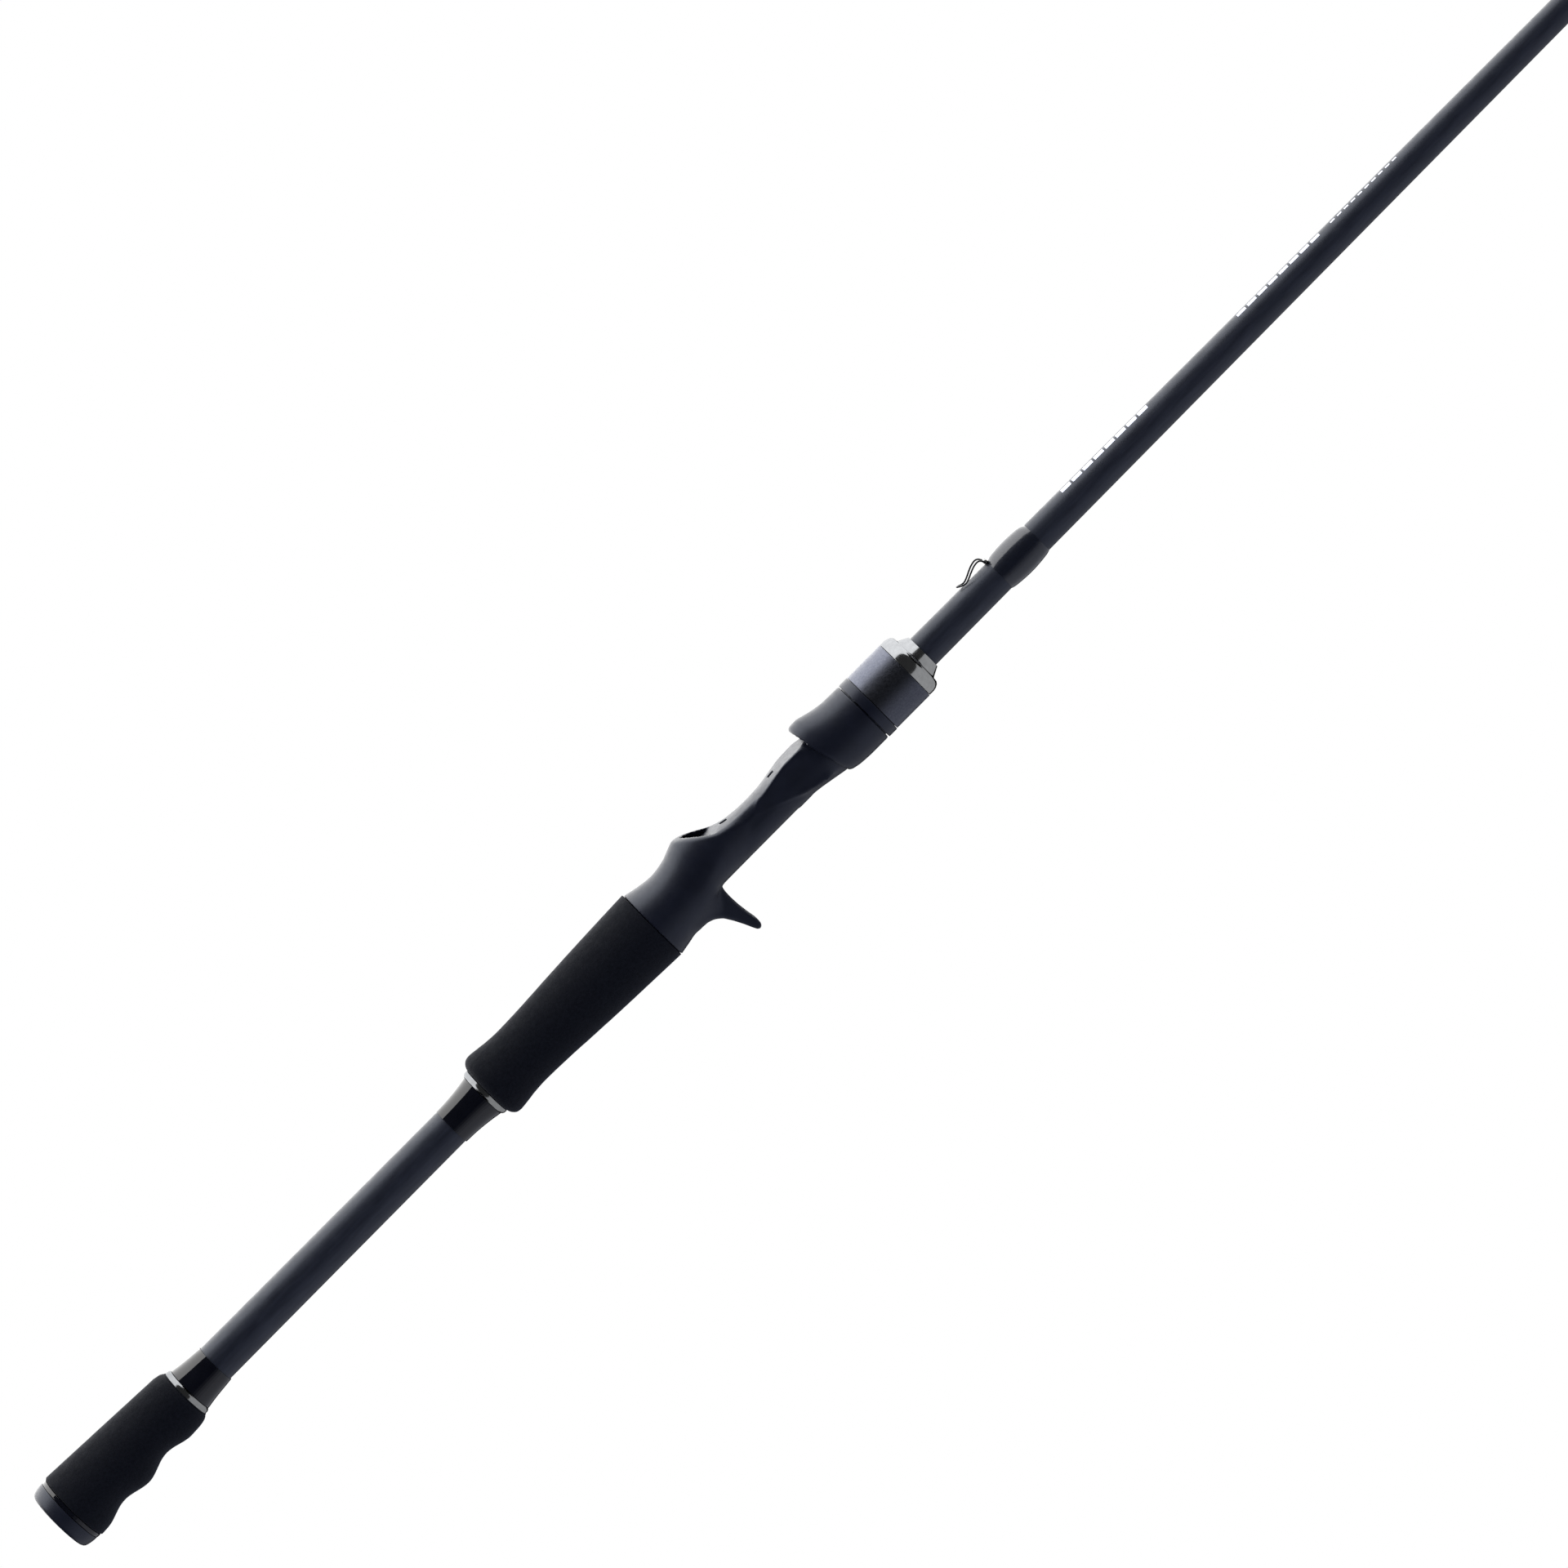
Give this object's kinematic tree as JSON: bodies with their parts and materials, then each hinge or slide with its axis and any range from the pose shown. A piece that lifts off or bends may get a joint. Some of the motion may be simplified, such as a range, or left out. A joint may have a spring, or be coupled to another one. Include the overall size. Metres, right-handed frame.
{
  "type": "fishing rod",
  "caption": "Slim tapered casting rod with a split foam grip, a trigger reel seat with a screw-down hood, a folding hook keeper, ringed line guides and a tip-top.",
  "frame": {"origin": "centre of the butt cap's flat end face, on the rod's axis", "axes": "+X along the rod from butt to tip, +Z towards the reel and guide side, the trigger points to -Z"},
  "size_m": [1.9811, 0.0276, 0.0472],
  "materials": {
    "blank": "satin",
    "foam": "matte",
    "seat": "satin",
    "cap": "satin",
    "trim": "gloss",
    "polished": "polished",
    "nut": "satin",
    "arbor": "matte",
    "wire": "gloss",
    "ring": "gloss",
    "wrap": "gloss"
  },
  "bodies": {
    "root": {"butt_cap": "cap", "butt_trim_ring": "trim", "butt_grip": "foam", "butt_winding_check": "polished", "butt_trim_cone": "trim", "blank": "blank", "rear_trim_cone": "trim", "rear_winding_check": "polished", "rear_grip": "foam", "reel_seat": "seat", "rear_arbor": "arbor", "front_arbor": "arbor", "keeper_bracket": "wire", "keeper_wrap": "wrap", "guide_1_frame": "wire", "guide_1_ring": "ring", "guide_1_rear_wrap": "wrap", "guide_1_front_wrap": "wrap", "guide_2_frame": "wire", "guide_2_ring": "ring", "guide_2_rear_wrap": "wrap", "guide_2_front_wrap": "wrap", "guide_3_frame": "wire", "guide_3_ring": "ring", "guide_3_wrap": "wrap", "guide_4_frame": "wire", "guide_4_ring": "ring", "guide_4_wrap": "wrap", "guide_5_frame": "wire", "guide_5_ring": "ring", "guide_5_wrap": "wrap", "guide_6_frame": "wire", "guide_6_ring": "ring", "guide_6_wrap": "wrap", "guide_7_frame": "wire", "guide_7_ring": "ring", "guide_7_wrap": "wrap", "guide_8_frame": "wire", "guide_8_ring": "ring", "guide_8_wrap": "wrap", "tip_top_frame": "wire", "tip_top_ring": "ring", "tip_wrap": "wrap"},
    "hood": {"front_hood": "seat", "hood_liner": "polished"},
    "lock_nut": {"lock_nut": "nut", "nut_ring": "nut", "nut_sleeve": "nut", "nut_front_cap": "polished"},
    "keeper": {"hook_keeper": "wire"}
  },
  "joints": [
    {"name": "hood_slide", "type": "slide", "parent": "root", "child": "hood", "axis": [1, 0, 0], "range_m": [0, 0.012]},
    {"name": "nut_turn", "type": "hinge", "parent": "hood", "child": "lock_nut", "pos_m": [0.3865, 0, 0], "axis": [1, 0, 0], "range_deg": [0, 2700]},
    {"name": "keeper_fold", "type": "hinge", "parent": "root", "child": "keeper", "pos_m": [0.4404, 0, 0.00675], "axis": [0, 1, 0], "range_deg": [0, 90]}
  ],
  "couplings": [
    {"joint": "nut_turn", "follows": "hood_slide", "rad_per_m": 3927}
  ]
}
